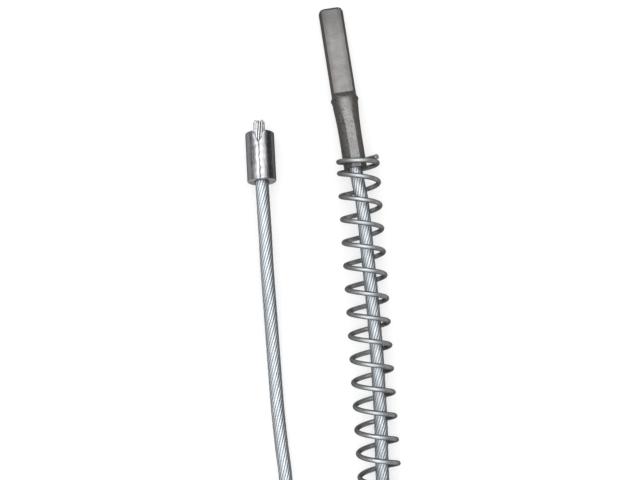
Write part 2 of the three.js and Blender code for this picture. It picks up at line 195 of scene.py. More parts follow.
def strand_route():
    """The whole free length, from the fitting's mouth through the coil to the stop."""
    inside_fitting = Vector(FITTING_MOUTH) - FITTING_WAY * INSIDE_END
    inside_stop = Vector(STOP_FACE) - STOP_WAY * INSIDE_END
    points = [inside_fitting, Vector(FITTING_MOUTH), *ROUTE_FROM_FITTING]
    points += coil_points()[::-1]
    points += [*ROUTE_FROM_STOP[::-1], Vector(STOP_FACE), inside_stop]
    line = through_points([on_table(point) for point in points], SEEN_SPACING)
    return evenly(line, lambda point: SEEN_SPACING if point.y > SEEN_FROM else COIL_SPACING)


FLUTE_SHARE = 0.42          # the grooves are partly closed by zinc and by the wires' own squeeze
WIRE_FULLNESS = 1.03        # how far neighbouring wires press into each other
POINTS_PER_WIRE = 7


def flute_radius(turn_share, radius):
    """The strand's surface across one wire, from groove to groove."""
    wire = radius * math.pi / (STRAND_WIRES + math.pi) * WIRE_FULLNESS
    centre = radius - wire
    angle = (turn_share - 0.5) * 2 * math.pi / STRAND_WIRES
    reach = wire * wire - (centre * math.sin(angle)) ** 2
    full = centre * math.cos(angle) + math.sqrt(max(0, reach))
    return radius - (radius - full) * FLUTE_SHARE


def strand_mesh(name, route):
    """A tube round the route with a ridge for each outer wire, twisted right-handed by the lay."""
    count = STRAND_WIRES * POINTS_PER_WIRE
    shares = numpy.arange(count) / count
    radii = numpy.array(
        [flute_radius(j % POINTS_PER_WIRE / POINTS_PER_WIRE, STRAND_DIAMETER / 2) for j in range(count)]
    )
    line = numpy.array([list(point) for point in route])
    steps = numpy.linalg.norm(numpy.diff(line, axis=0), axis=1)
    along = numpy.concatenate([[0], numpy.cumsum(steps)])
    side = Vector((1, 0, 0))
    rings = []
    for i, point in enumerate(route):
        way = (route[min(i + 1, len(route) - 1)] - route[max(i - 1, 0)]).normalized()
        side = (side - way * side.dot(way)).normalized()
        other = way.cross(side)
        angles = 2 * math.pi * (shares + along[i] / STRAND_LAY)
        ring = (
            numpy.array(point)
            + numpy.outer(numpy.cos(angles) * radii, numpy.array(side))
            + numpy.outer(numpy.sin(angles) * radii, numpy.array(other))
        )
        rings.append(ring)
    vertices = numpy.concatenate(rings)
    faces = []
    around = []
    for i in range(len(route) - 1):
        for j in range(count):
            k = (j + 1) % count
            faces.append((i * count + j, i * count + k, (i + 1) * count + k, (i + 1) * count + j))
            left = j / POINTS_PER_WIRE
            right = (j + 1) / POINTS_PER_WIRE
            around += [(along[i], left), (along[i], right), (along[i + 1], right), (along[i + 1], left)]
    last = (len(route) - 1) * count
    faces.append(tuple(range(count))[::-1])
    faces.append(tuple(range(last, last + count)))
    around += [(0, j / POINTS_PER_WIRE) for j in range(count)] * 2
    mesh = bpy.data.meshes.new(name)
    mesh.from_pydata(vertices.tolist(), [], faces)
    layer = mesh.uv_layers.new(name="along_and_wire")
    layer.data.foreach_set("uv", numpy.array(around, dtype=numpy.float32).ravel())
    strand = bpy.data.objects.new(name, mesh)
    bpy.context.scene.collection.objects.link(strand)
    return strand, along[-1]


route = strand_route()
strand, strand_length = strand_mesh("strand", route)
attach(strand, "root")
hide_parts("cable_from_fitting", "cable_from_stop", "cable_coil")


# Places of the end pieces
def placed(columns, origin):
    """The matrix that puts a piece, modelled along its own Z with Y upwards, at its place."""
    return Matrix([[*row, shift] for row, shift in zip(zip(*columns), origin)] + [[0, 0, 0, 1]])


FITTING_PLACE = placed(
    [(0.988421, 0.151736, 0), (-0.011233, 0.073171, 0.997256), (0.151319, -0.985709, 0.074029)],
    (1.579226 * MM, 60.571851 * MM, 1.85 * MM),
)
SPRING_PLACE = placed(
    [(0.997803, 0.066254, 0), (0, 0, 1), (0.066254, -0.997803, 0)],
    (8.026475 * MM, 24.109791 * MM, 5.17 * MM),
)
STOP_PLACE = placed(
    [(0.998337, 0.057645, 0), (-0.008023, 0.138942, 0.990268), (0.057084, -0.988621, 0.139173)],
    (-15.320774 * MM, 30.211851 * MM, 3.416425 * MM),
)


# Shaping
def edit(piece):
    """Opens the piece for editing with nothing selected."""
    if bpy.context.object and bpy.context.object.mode != "OBJECT":
        bpy.ops.object.mode_set(mode="OBJECT")
    bpy.ops.object.select_all(action="DESELECT")
    piece.select_set(True)
    bpy.context.view_layer.objects.active = piece
    bpy.ops.object.mode_set(mode="EDIT")
    bpy.ops.mesh.select_all(action="DESELECT")
    bpy.ops.mesh.select_mode(type="FACE")


def close(piece):
    bpy.ops.object.mode_set(mode="OBJECT")
    return piece


def pick_faces(piece, test):
    """Selects the faces whose centre and normal pass the test, and no others."""
    bpy.ops.mesh.select_all(action="DESELECT")
    bpy.ops.object.mode_set(mode="OBJECT")
    for face in piece.data.polygons:
        face.select = bool(test(face.center, face.normal))
    bpy.ops.object.mode_set(mode="EDIT")


def settle(piece, place):
    """Moves the finished mesh to its place, so that the object stays at the origin."""
    piece.data.transform(piece.matrix_world)
    piece.matrix_world = Matrix.Identity(4)
    piece.data.transform(place)
    return piece


def apply_modifier(piece, kind, **settings):
    modifier = piece.modifiers.new(kind.lower(), kind)
    for key, value in settings.items():
        setattr(modifier, key, value)
    bpy.context.view_layer.objects.active = piece
    bpy.ops.object.modifier_apply(modifier=modifier.name)


def soft_shade(piece, angle):
    bpy.ops.object.select_all(action="DESELECT")
    piece.select_set(True)
    bpy.context.view_layer.objects.active = piece
    bpy.ops.object.shade_smooth_by_angle(angle=math.radians(angle))


# Tang fitting
TANG_RADIUS = 2.96 * MM
COLLAR_RADIUS = 3.1 * MM
TANG_HALF = 1.85 * MM       # half its thickness
TANG_LENGTH = 21.1 * MM
TANG_END_BEVEL = 0.9 * MM
FLAT_END_BEVEL = 0.55 * MM
SHOULDER_LENGTH = 1.3 * MM
COLLAR_START = TANG_LENGTH + SHOULDER_LENGTH
SLOPE_END = 22.75 * MM      # where the mill's run-out is clear of the collar
SLOPE_TOP = 3.25 * MM       # and how far out from the axis it is there
FITTING_LENGTH = 39.5 * MM
BARREL_SIDES = 8
BARREL_TURN = 6             # degrees between the barrel's flats and the tang's
BLANK_SIDES = 96
BORE_RADIUS = 1.7 * MM
MOUTH_RADIUS = 1.95 * MM
MOUTH_CHAMFER = 0.3 * MM
MOUTH_DEPTH = 1.2 * MM
COLLAR_AND_BARREL = [       # radius and distance from the tang's end
    (2.97, 21.5), (3.0, 21.9), (3.05, 22.2), (3.09, 22.5), (3.125, 22.8),
    (3.11, 23.4), (3.04, 24.5), (2.95, 25.9),
    (2.88, 27.4), (2.85, 28.8), (2.83, 30.2), (2.82, 34.8), (2.82, 39.5),
]
PRESSED_FLAT = [            # distance from the tang's end and height of each flat over the axis
    (23.6, 3.13), (26.4, 2.82), (29.0, 2.66), (31.5, 2.6),
]
EDGE_ROUNDING = 0.14 * MM
SHARP_FROM = 18             # degrees that an edge turns by before it is rounded
CUTTER_WIDTH = 20 * MM
BURR_HEIGHT = 0.25 * MM
BURR_LENGTH = 0.5 * MM
BURR_AT = COLLAR_START + 0.2 * MM
BURR_FROM = 0.75            # how far out from the axis a burr begins, as a share


def extrude_end(radius_now, radius_next, step):
    """Draws the selected end face out along Z by the step, and changes its radius."""
    bpy.ops.mesh.extrude_region_move(TRANSFORM_OT_translate={"value": (0, 0, step)})
    share = radius_next / radius_now
    bpy.ops.transform.resize(value=(share, share, 1))


def turned_blank():
    """The round blank: tang, shoulder, crowned collar, taper and barrel, with an open mouth."""
    bpy.ops.object.select_all(action="DESELECT")
    bpy.ops.mesh.primitive_cylinder_add(
        vertices=BLANK_SIDES, radius=TANG_RADIUS, depth=TANG_LENGTH, location=(0, 0, TANG_LENGTH / 2)
    )
    blank = bpy.context.object
    blank.name = "fitting"
    blank.data.transform(blank.matrix_world)
    blank.matrix_world = Matrix.Identity(4)
    edit(blank)
    pick_faces(blank, lambda centre, normal: normal.z < -0.9)
    bpy.ops.mesh.bevel(offset=TANG_END_BEVEL, segments=2, profile=0.5, affect="EDGES")
    pick_faces(blank, lambda centre, normal: normal.z > 0.9 and centre.z > TANG_LENGTH * 0.9)
    now, reached = TANG_RADIUS, TANG_LENGTH
    for radius, distance in COLLAR_AND_BARREL:
        extrude_end(now, radius * MM, distance * MM - reached)
        now, reached = radius * MM, distance * MM
    bpy.ops.mesh.inset(thickness=now - MOUTH_RADIUS)
    extrude_end(MOUTH_RADIUS, BORE_RADIUS, -MOUTH_CHAMFER)
    extrude_end(BORE_RADIUS, BORE_RADIUS, -MOUTH_DEPTH)
    return close(blank)


def outline_cutter(name, outline, turn):
    """A wedge with that outline of (along, up) points, wider than the fitting, turned about Z."""
    half = CUTTER_WIDTH / 2
    count = len(outline)
    vertices = [(x, up, along) for x in (-half, half) for along, up in outline]
    faces = [tuple(range(count))[::-1], tuple(range(count, 2 * count))]
    faces += [(i, (i + 1) % count, count + (i + 1) % count, count + i) for i in range(count)]
    mesh = bpy.data.meshes.new(name)
    mesh.from_pydata(vertices, [], faces)
    mesh.transform(Matrix.Rotation(turn, 4, "Z"))
    cutter = bpy.data.objects.new(name, mesh)
    bpy.context.scene.collection.objects.link(cutter)
    edit(cutter)
    bpy.ops.mesh.select_all(action="SELECT")
    bpy.ops.mesh.normals_make_consistent(inside=False)
    return close(cutter)


def cut_away(piece, cutter):
    bpy.ops.object.select_all(action="DESELECT")
    apply_modifier(piece, "BOOLEAN", operation="DIFFERENCE", object=cutter, solver="EXACT")
    bpy.data.objects.remove(cutter)


def raise_burrs(fitting):
    """Pulls out the little burrs that milling left on both sides where the collar starts."""
    for vertex in fitting.data.vertices:
        side = abs(vertex.co.x) / COLLAR_RADIUS
        off = (vertex.co.z - BURR_AT) / BURR_LENGTH
        if abs(off) < 1 and side > BURR_FROM:
            height = BURR_HEIGHT * (1 - off * off) * (side - BURR_FROM) / (1 - BURR_FROM)
            vertex.co.x += math.copysign(height, vertex.co.x)


def tang_fitting():
    """The swaged fitting: two flats milled on the tang, eight pressed on the barrel."""
    fitting = turned_blank()
    clear = 6 * MM
    over = 1 * MM
    tang_outline = [
        (-over, TANG_HALF - FLAT_END_BEVEL - over), (FLAT_END_BEVEL, TANG_HALF),
        (TANG_LENGTH, TANG_HALF), (SLOPE_END, SLOPE_TOP), (SLOPE_END, clear), (-over, clear),
    ]
    for half_turn in (0, math.pi):
        cut_away(fitting, outline_cutter("mill", tang_outline, half_turn))
    flat = [(along * MM, up * MM) for along, up in PRESSED_FLAT]
    barrel_outline = [
        *flat, (FITTING_LENGTH + over, flat[-1][1]), (FITTING_LENGTH + over, clear), (flat[0][0], clear),
    ]
    for side in range(BARREL_SIDES):
        turn = 2 * math.pi * side / BARREL_SIDES - math.radians(BARREL_TURN)
        cut_away(fitting, outline_cutter("press", barrel_outline, turn))
    apply_modifier(
        fitting, "BEVEL", width=EDGE_ROUNDING, segments=3, limit_method="ANGLE",
        angle_limit=math.radians(SHARP_FROM), harden_normals=False,
    )
    raise_burrs(fitting)
    soft_shade(fitting, 40)
    settle(fitting, FITTING_PLACE)
    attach(fitting, "root")
    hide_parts("tang_fitting")
    return fitting


# Return spring
SPRING_DIAMETER = 10.34 * MM
SPRING_WIRE = 1.15 * MM
SPRING_RADIUS = (SPRING_DIAMETER - SPRING_WIRE) / 2
SPRING_PITCH = 5.5 * MM
SPRING_CLOSED_PITCH = 1.65 * MM
SPRING_CLOSED_TURNS = 0.7
SPRING_RUN_OUT = 0.9
SPRING_TURNS = 17.0455
SPRING_START = -27          # degrees from the spring's own X
SPRING_STEPS = 40
SPRING_SIDES = 16
SPRING_END_ROUND = 0.12 * MM
END_FLARE = 0.75 * MM       # how far the cut end stands out of the first turn
END_FLARE_TURNS = 0.1
END_BEND = 0.32 * MM        # and off it, along the spring
END_BEND_TURNS = 0.2
SQUASHED = 0.38             # how much wider the cutters have squashed the wire at its end
SQUASHED_LENGTH = 1.1 * MM
END_RINGS_WITHIN = 0.59     # the end's own corners lie within this share of that length
BROKEN_EDGE_MIDDLE = 0.3    # where the middle of a broken edge lies, as a share of its size


def open_turns(turn):
    """How many turns' worth of full pitch the coil has opened by, from its closed end on."""
    share = (turn - SPRING_CLOSED_TURNS) / SPRING_RUN_OUT
    if share <= 0:
        return 0
    if share < 1:
        return SPRING_RUN_OUT * (share ** 3 - share ** 4 / 2)
    return SPRING_RUN_OUT * (share - 0.5)


def spring_point(turn):
    closing = SPRING_TURNS - 2 * SPRING_CLOSED_TURNS - SPRING_RUN_OUT
    height = SPRING_CLOSED_PITCH * turn
    height += (SPRING_PITCH - SPRING_CLOSED_PITCH) * (open_turns(turn) - open_turns(turn - closing))
    height -= END_BEND * (1 - smooth(turn / END_BEND_TURNS))
    angle = math.radians(SPRING_START - 360 * turn)
    radius = SPRING_RADIUS + END_FLARE * (1 - smooth(turn / END_FLARE_TURNS))
    return Vector((radius * math.cos(angle), radius * math.sin(angle), height))


def wire_along(name, points, radius, sides, end_round):
    """A bar of wire through the points, with its sharp end edges broken."""
    rings = []
    side = None
    faces = []
    around = []
    walked = 0
    stations = []
    for i, point in enumerate(points):
        way = (points[min(i + 1, len(points) - 1)] - points[max(i - 1, 0)]).normalized()
        stations.append((point, way, radius))
    start, start_way, _ = stations[0]
    end, end_way, _ = stations[-1]
    middle = end_round * BROKEN_EDGE_MIDDLE
    stations = [
        (start, start_way, radius - end_round),
        (start + start_way * middle, start_way, radius - middle),
        (start + start_way * end_round, start_way, radius),
        *stations[1:-1],
        (end - end_way * end_round, end_way, radius),
        (end - end_way * middle, end_way, radius - middle),
        (end, end_way, radius - end_round),
    ]
    walks = []
    for i, (point, way, size) in enumerate(stations):
        if i:
            walked += (point - stations[i - 1][0]).length
        walks.append(walked)
        if side is None:
            side = way.orthogonal()
        side = (side - way * side.dot(way)).normalized()
        other = way.cross(side)
        for k in range(sides):
            angle = 2 * math.pi * k / sides
            rings.append(point + side * size * math.cos(angle) + other * size * math.sin(angle))
    for i in range(len(stations) - 1):
        for k in range(sides):
            j = (k + 1) % sides
            faces.append((i * sides + k, i * sides + j, (i + 1) * sides + j, (i + 1) * sides + k))
            low, high = k / sides, (k + 1) / sides
            around += [(walks[i], low), (walks[i], high), (walks[i + 1], high), (walks[i + 1], low)]
    last = (len(stations) - 1) * sides
    faces.append(tuple(range(sides))[::-1])
    faces.append(tuple(range(last, last + sides)))
    around += [(0, k / sides) for k in range(sides)] * 2
    mesh = bpy.data.meshes.new(name)
    mesh.from_pydata([list(point) for point in rings], [], faces)
    layer = mesh.uv_layers.new(name="along_and_round")
    layer.data.foreach_set("uv", numpy.array(around, dtype=numpy.float32).ravel())
    wire = bpy.data.objects.new(name, mesh)
    bpy.context.scene.collection.objects.link(wire)
    return wire


def return_spring():
    steps = round(SPRING_TURNS * SPRING_STEPS)
    points = [spring_point(SPRING_TURNS * i / steps) for i in range(steps + 1)]
    spring = wire_along("spring", points, SPRING_WIRE / 2, SPRING_SIDES, SPRING_END_ROUND)
    for vertex in spring.data.vertices:
        off = (vertex.co - points[0]).length
        if off < SQUASHED_LENGTH:
            centre = points[0] if off < SQUASHED_LENGTH * END_RINGS_WITHIN else points[1]
            vertex.co += (vertex.co - centre) * SQUASHED * (1 - smooth(off / SQUASHED_LENGTH))
    soft_shade(spring, 50)
    settle(spring, SPRING_PLACE)
    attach(spring, "root")
    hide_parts("return_spring")
    return spring


# Crimped stop
STOP_RADIUS = 3.45 * MM
STOP_BORE_RADIUS = 1.5 * MM
STOP_LENGTH = 12 * MM
STOP_ROWS = 72
STOP_COLUMNS = 120
STOP_INNER_COLUMNS = 40
STOP_RIM = 0.3 * MM
STOP_RIM_STEPS = 4
SEAM_AT = -0.25 * MM
SEAM_HALF = 0.015 * MM
SEAM_WAVES = [              # height, length and start of each
    (0.05 * MM, 0.62 * MM, 0), (0.04 * MM, 0.29 * MM, 1.3),
]
NOTCH_WAVE = 0.8            # how much of the seam's wave widens the notch too
WIDEST_OPENING = 0.9        # the sine of half the widest that the bore stands open
NOTCH_HALF = 1.3 * MM
NOTCH_LENGTH = 3.2 * MM
LIP_DEPTH = 0.12 * MM
LIP_STEEPNESS = 2.2
RIPPLE = 0.035 * MM         # press marks beside the seam
RIPPLE_REACH = 2.6 * MM
RIPPLE_WAVES = [            # length, and how far it runs aslant
    (0.8 * MM, 2.1), (0.47 * MM, -5),
]
MOUTH_FLARE = 0.4 * MM
MOUTH_FLARE_LENGTH = 0.5 * MM
LEFT_LIP = 0.8 * MM
RIGHT_LIP = 0.55 * MM


def seam_gap(along):
    """Half the seam's open width, which spreads into the notch at the cut end, and its wave."""
    wave = sum(height * math.sin(along / length + start) for height, length, start in SEAM_WAVES)
    if along < NOTCH_LENGTH:
        share = 1 - along / NOTCH_LENGTH
        return SEAM_HALF + (NOTCH_HALF - SEAM_HALF) * share + wave * NOTCH_WAVE, wave
    return SEAM_HALF, wave


def stop_section(along):
    """The strip's closed outline at that height: outside round, down the lip, inside round and back."""
    gap, wave = seam_gap(along)
    edge = min(along, STOP_LENGTH - along)
    rim = 0
    if edge < STOP_RIM:
        rim = STOP_RIM - math.sqrt(max(0, STOP_RIM ** 2 - (STOP_RIM - edge) ** 2))
    outer = STOP_RADIUS - rim
    from_mouth = STOP_LENGTH - along
    inner = STOP_BORE_RADIUS + MOUTH_FLARE * smooth(1 - from_mouth / MOUTH_FLARE_LENGTH)
    right = SEAM_AT + wave + gap
    left = SEAM_AT + wave - gap
    start = math.pi / 2 - math.asin(right / outer)
    end = math.pi / 2 - math.asin(left / outer) - 2 * math.pi
    outline = []
    for i in range(STOP_COLUMNS + 1):
        angle = start + (end - start) * i / STOP_COLUMNS
        from_right = (start - angle) * outer
        from_left = (angle - end) * outer
        sink = 0
        if from_right < RIGHT_LIP:
            sink = max(sink, LIP_DEPTH * (1 - smooth(from_right / RIGHT_LIP)) ** LIP_STEEPNESS)
        if from_left < LEFT_LIP:
            sink = max(sink, LIP_DEPTH * (1 - smooth(from_left / LEFT_LIP)) ** LIP_STEEPNESS)
        ripple = math.prod(math.sin(along / length + slant * angle) for length, slant in RIPPLE_WAVES)
        near_seam = 1 - smooth(min(from_right, from_left) / RIPPLE_REACH)
        radius = outer - sink + RIPPLE * ripple * near_seam
        outline.append((radius * math.cos(angle), radius * math.sin(angle), along))
    inner_start = math.pi / 2 - math.asin(max(-WIDEST_OPENING, left / inner)) - 2 * math.pi
    inner_end = math.pi / 2 - math.asin(min(WIDEST_OPENING, right / inner))
    for i in range(STOP_INNER_COLUMNS + 1):
        angle = inner_start + (inner_end - inner_start) * i / STOP_INNER_COLUMNS
        outline.append((inner * math.cos(angle), inner * math.sin(angle), along))
    return outline


def crimped_stop():
    """One strip wrapped round the strand; its lips meet in a wavy seam and part at the notch."""
    heights = [STOP_LENGTH * i / STOP_ROWS for i in range(STOP_ROWS + 1)]
    quarter = math.pi / 2
    fine = [STOP_RIM * (1 - math.cos(quarter * k / STOP_RIM_STEPS)) for k in range(STOP_RIM_STEPS + 1)]
    heights = sorted(set(
        [h for h in heights if STOP_RIM < h < STOP_LENGTH - STOP_RIM]
        + fine + [STOP_LENGTH - h for h in fine]
    ))
    sections = [stop_section(height) for height in heights]
    count = len(sections[0])
    vertices = [point for section in sections for point in section]
    faces = [tuple(range(count))]
    for i in range(len(sections) - 1):
        for j in range(count):
            k = (j + 1) % count
            faces.append((i * count + j, i * count + k, (i + 1) * count + k, (i + 1) * count + j))
    last = (len(sections) - 1) * count
    faces.append(tuple(range(last, last + count))[::-1])
    mesh = bpy.data.meshes.new("stop")
    mesh.from_pydata(vertices, [], faces)
    stop = bpy.data.objects.new("stop", mesh)
    bpy.context.scene.collection.objects.link(stop)
    edit(stop)
    bpy.ops.mesh.select_all(action="SELECT")
    bpy.ops.mesh.normals_make_consistent(inside=False)
    close(stop)
    soft_shade(stop, 40)
    settle(stop, STOP_PLACE)
    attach(stop, "root")
    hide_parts("stop_ferrule")
    return stop


# Cut end
CUT_WIRE_DIAMETER = 0.55 * MM
CUT_WIRE_SIDES = 12
CUT_WIRE_STEPS = 24
CUT_WIRE_END_ROUND = 0.05 * MM
CUT_END_LENGTH = 2.4 * MM
CUT_END_SPREAD = 0.02
CUT_END_LAY = 60 * MM       # the crimp has untwisted the short ends
CUT_END_RAGGED = 0.3 * MM   # how far the wires' ends stand off their middle, this way or that
CUT_END_WAVE = 2.4
CUT_END_LIFT = 1.25 * MM    # the crimp has squeezed the strand up into the notch
LIFT_LEVEL_TO = 1 * MM
LIFT_DROP_LENGTH = 4.5 * MM
WIRE_LAYERS = [             # name, number of wires and how far they lie from the strand's middle
    ("core", 1, 0), ("middle", 6, 0.56 * MM), ("outer", 12, 1.1 * MM),
]


def cut_end_wires():
    """The strand's wires inside the stop and out of its cut end, each a piece of its own."""
    wires = []
    for layer, count, radius in WIRE_LAYERS:
        for i in range(count):
            start = -CUT_END_LENGTH + CUT_END_RAGGED * math.sin(CUT_END_WAVE * i + count)
            points = []
            for step in range(CUT_WIRE_STEPS + 1):
                along = start + (STOP_LENGTH - start) * step / CUT_WIRE_STEPS
                loose = max(0, -along / CUT_END_LENGTH)
                reach = radius * (1 + CUT_END_SPREAD * loose ** 2)
                angle = 2 * math.pi * (i / count + along / CUT_END_LAY)
                lift = CUT_END_LIFT * (1 - smooth((along - LIFT_LEVEL_TO) / LIFT_DROP_LENGTH))
                points.append(Vector((reach * math.cos(angle), reach * math.sin(angle) + lift, along)))
            node = f"{layer}_wire_{i + 1:02d}"
            wire = wire_along(
                f"cut_{node}", points, CUT_WIRE_DIAMETER / 2, CUT_WIRE_SIDES, CUT_WIRE_END_ROUND
            )
            soft_shade(wire, 50)
            settle(wire, STOP_PLACE)
            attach(wire, "root")
            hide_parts(node)
            wires.append(wire)
    return wires


fitting = tang_fitting()
spring = return_spring()
stop = crimped_stop()
cut_wires = cut_end_wires()


# Finishes
def new_group(name, inputs, outputs):
    """An empty node group with those named sockets, and its two end nodes."""
    group = bpy.data.node_groups.new(name, "ShaderNodeTree")
    for label, kind, value in inputs:
        socket = group.interface.new_socket(name=label, in_out="INPUT", socket_type=kind)
        if value is not None:
            socket.default_value = value
    for label, kind in outputs:
        group.interface.new_socket(name=label, in_out="OUTPUT", socket_type=kind)
    return group, group.nodes.new("NodeGroupInput"), group.nodes.new("NodeGroupOutput")


def add_node(tree, kind, values=(), **settings):
    """A node with its settings, and values by socket number or name."""
    node = tree.nodes.new(kind)
    for key, value in settings.items():
        setattr(node, key, value)
    for key, value in dict(values).items():
        node.inputs[key].default_value = value
    return node


def math_of(tree, operation, first, second, clamp=False):
    """A Math node between two sockets or numbers."""
    node = add_node(tree, "ShaderNodeMath", operation=operation, use_clamp=clamp)
    for slot, value in enumerate((first, second)):
        if isinstance(value, bpy.types.NodeSocket):
            tree.links.new(value, node.inputs[slot])
        else:
            node.inputs[slot].default_value = value
    return node.outputs[0]


def between(tree, value, low, high, out_low=0.0, out_high=1.0):
    """Maps a socket's value from one range to another, held at both ends."""
    node = add_node(tree, "ShaderNodeMapRange", {1: low, 2: high, 3: out_low, 4: out_high})
    tree.links.new(value, node.inputs[0])
    return node.outputs[0]


def mixed(tree, share, first, second, blend="MIX"):
    """A colour between two, by a share; each may be a socket or a colour."""
    node = add_node(tree, "ShaderNodeMix", data_type="RGBA", blend_type=blend)
    for slot, value in ((0, share), (6, first), (7, second)):
        if isinstance(value, bpy.types.NodeSocket):
            tree.links.new(value, node.inputs[slot])
        else:
            node.inputs[slot].default_value = value
    return node.outputs[2]


def grain_group():
    """Fine and broad mottling of bare metal: two noises, one much larger than the other."""
    group, enter, leave = new_group(
        "metal_grain",
        [("Vector", "NodeSocketVector", None), ("Fine Scale", "NodeSocketFloat", 4000.0),
         ("Broad Scale", "NodeSocketFloat", 500.0)],
        [("Fine", "NodeSocketFloat"), ("Broad", "NodeSocketFloat")],
    )
    for label, detail in (("Fine", 3.0), ("Broad", 2.0)):
        noise = add_node(group, "ShaderNodeTexNoise", {"Detail": detail, "Roughness": 0.6})
        group.links.new(enter.outputs["Vector"], noise.inputs["Vector"])
        group.links.new(enter.outputs[f"{label} Scale"], noise.inputs["Scale"])
        group.links.new(between(group, noise.outputs[0], 0.3, 0.7), leave.inputs[label])
    return group


def painted_shade_group():
    """Paints shade into a metal's colour, tinted and a little uneven, as far as the piece's own stored
    attribute says.
    """
    group, enter, leave = new_group(
        "painted_shade",
        [("Colour", "NodeSocketColor", None), ("Tarnish", "NodeSocketFloat", 0.0),
         ("Mottle", "NodeSocketFloat", 0.5), ("Depth", "NodeSocketFloat", 0.7),
         ("Tint", "NodeSocketColor", (0.9, 0.85, 0.8, 1))],
        [("Colour", "NodeSocketColor")],
    )
    uneven = between(group, enter.outputs["Mottle"], 0, 1, 0.8, 1.1)
    share = math_of(group, "MULTIPLY", enter.outputs["Tarnish"], uneven)
    share = math_of(group, "MULTIPLY", share, enter.outputs["Depth"], clamp=True)
    dark = mixed(group, 1.0, enter.outputs["Colour"], enter.outputs["Tint"], "MULTIPLY")
    darker = add_node(group, "ShaderNodeHueSaturation", {"Value": 0.12, "Saturation": 1.2})
    group.links.new(dark, darker.inputs["Color"])
    shaded = mixed(group, share, enter.outputs["Colour"], darker.outputs[0])
    group.links.new(shaded, leave.inputs["Colour"])
    return group


METAL_GRAIN = grain_group()
PAINTED_SHADE = painted_shade_group()


def use_group(tree, group, **values):
    node = tree.nodes.new("ShaderNodeGroup")
    node.node_tree = group
    for label, value in values.items():
        socket = node.inputs[label.replace("_", " ")]
        if isinstance(value, bpy.types.NodeSocket):
            tree.links.new(value, socket)
        else:
            socket.default_value = value
    return node


def metal(name, roughness, tint):
    """A bare metal material, with its tree and its shader."""
    material = bpy.data.materials.new(name)
    material.use_nodes = True
    tree = material.node_tree
    shader = tree.nodes["Principled BSDF"]
    shader.inputs["Metallic"].default_value = 1.0
    shader.inputs["Roughness"].default_value = roughness
    shader.inputs["Specular Tint"].default_value = tint
    return material, tree, shader


def own_coordinates(tree, place, scale=(1, 1, 1)):
    """The piece's Object coordinates turned back into the frame that it was modelled in."""
    coordinates = tree.nodes.new("ShaderNodeTexCoord")
    back = add_node(tree, "ShaderNodeMapping", vector_type="TEXTURE")
    back.inputs["Location"].default_value = place.to_translation()
    back.inputs["Rotation"].default_value = place.to_euler("XYZ")
    tree.links.new(coordinates.outputs["Object"], back.inputs["Vector"])
    stretch = add_node(tree, "ShaderNodeMapping", {"Scale": scale})
    tree.links.new(back.outputs[0], stretch.inputs["Vector"])
    return stretch.outputs[0]


# The share of painted shade that the piece stored on its corners.
def painted_shade_of(tree):
    return add_node(tree, "ShaderNodeAttribute", attribute_name="painted_shade").outputs["Fac"]


def bump(tree, shader, height, distance, strength):
    node = add_node(tree, "ShaderNodeBump", {"Distance": distance, "Strength": strength})
    tree.links.new(height, node.inputs["Height"])
    tree.links.new(node.outputs[0], shader.inputs["Normal"])


def fitting_finish():
    """Milled and swaged steel: grey and close grained, darker towards the tang's end, with painted
    shade, darker and browner, on its sides and flanks.
    """
    material, tree, shader = metal("swaged_steel", 0.56, (0.5, 0.46, 0.43, 1))
    frame_of_fitting = own_coordinates(tree, FITTING_PLACE)
    grain = use_group(tree, METAL_GRAIN, Vector=frame_of_fitting, Fine_Scale=2600.0, Broad_Scale=420.0)
    colour = mixed(tree, grain.outputs["Broad"], (0.24, 0.235, 0.231, 1), (0.32, 0.314, 0.308, 1))
    split = tree.nodes.new("ShaderNodeSeparateXYZ")
    tree.links.new(frame_of_fitting, split.inputs[0])
    coarse = between(tree, split.outputs[2], TANG_LENGTH, COLLAR_START, 0.3, 1)
    crests = math_of(tree, "MULTIPLY", between(tree, grain.outputs["Fine"], 0.4, 1, 0, 0.65), coarse)
    pits = math_of(tree, "MULTIPLY", between(tree, grain.outputs["Fine"], 0.5, 0, 0, 0.85), coarse)
    colour = mixed(tree, crests, colour, (0.36, 0.355, 0.345, 1))
    colour = mixed(tree, pits, colour, (0.08, 0.077, 0.073, 1))
    # Painted shade, darker towards the fitting's sides.
    off_middle = math_of(tree, "ABSOLUTE", split.outputs[0], 0)
    side_shade = between(tree, off_middle, 1.2 * MM, 2.5 * MM, 0, 0.6)
    colour = mixed(tree, side_shade, colour, (0.11, 0.1, 0.09, 1))
    near_end = between(tree, split.outputs[2], 1 * MM, 9 * MM, 0.45, 0)
    colour = mixed(tree, near_end, colour, (0.09, 0.088, 0.085, 1))
    # Painted shade from the stored attribute, browner, on the flanks and the step to the collar.
    shaded_colour = use_group(
        tree, PAINTED_SHADE, Colour=colour, Tarnish=painted_shade_of(tree), Mottle=grain.outputs["Broad"],
        Depth=0.38, Tint=(1.0, 0.8, 0.66, 1),
    )
    tree.links.new(shaded_colour.outputs[0], shader.inputs["Base Color"])
    tree.links.new(between(tree, grain.outputs["Fine"], 0, 1, 0.48, 0.68), shader.inputs["Roughness"])
    bump(tree, shader, grain.outputs["Fine"], 0.04 * MM, 0.8)
    return material


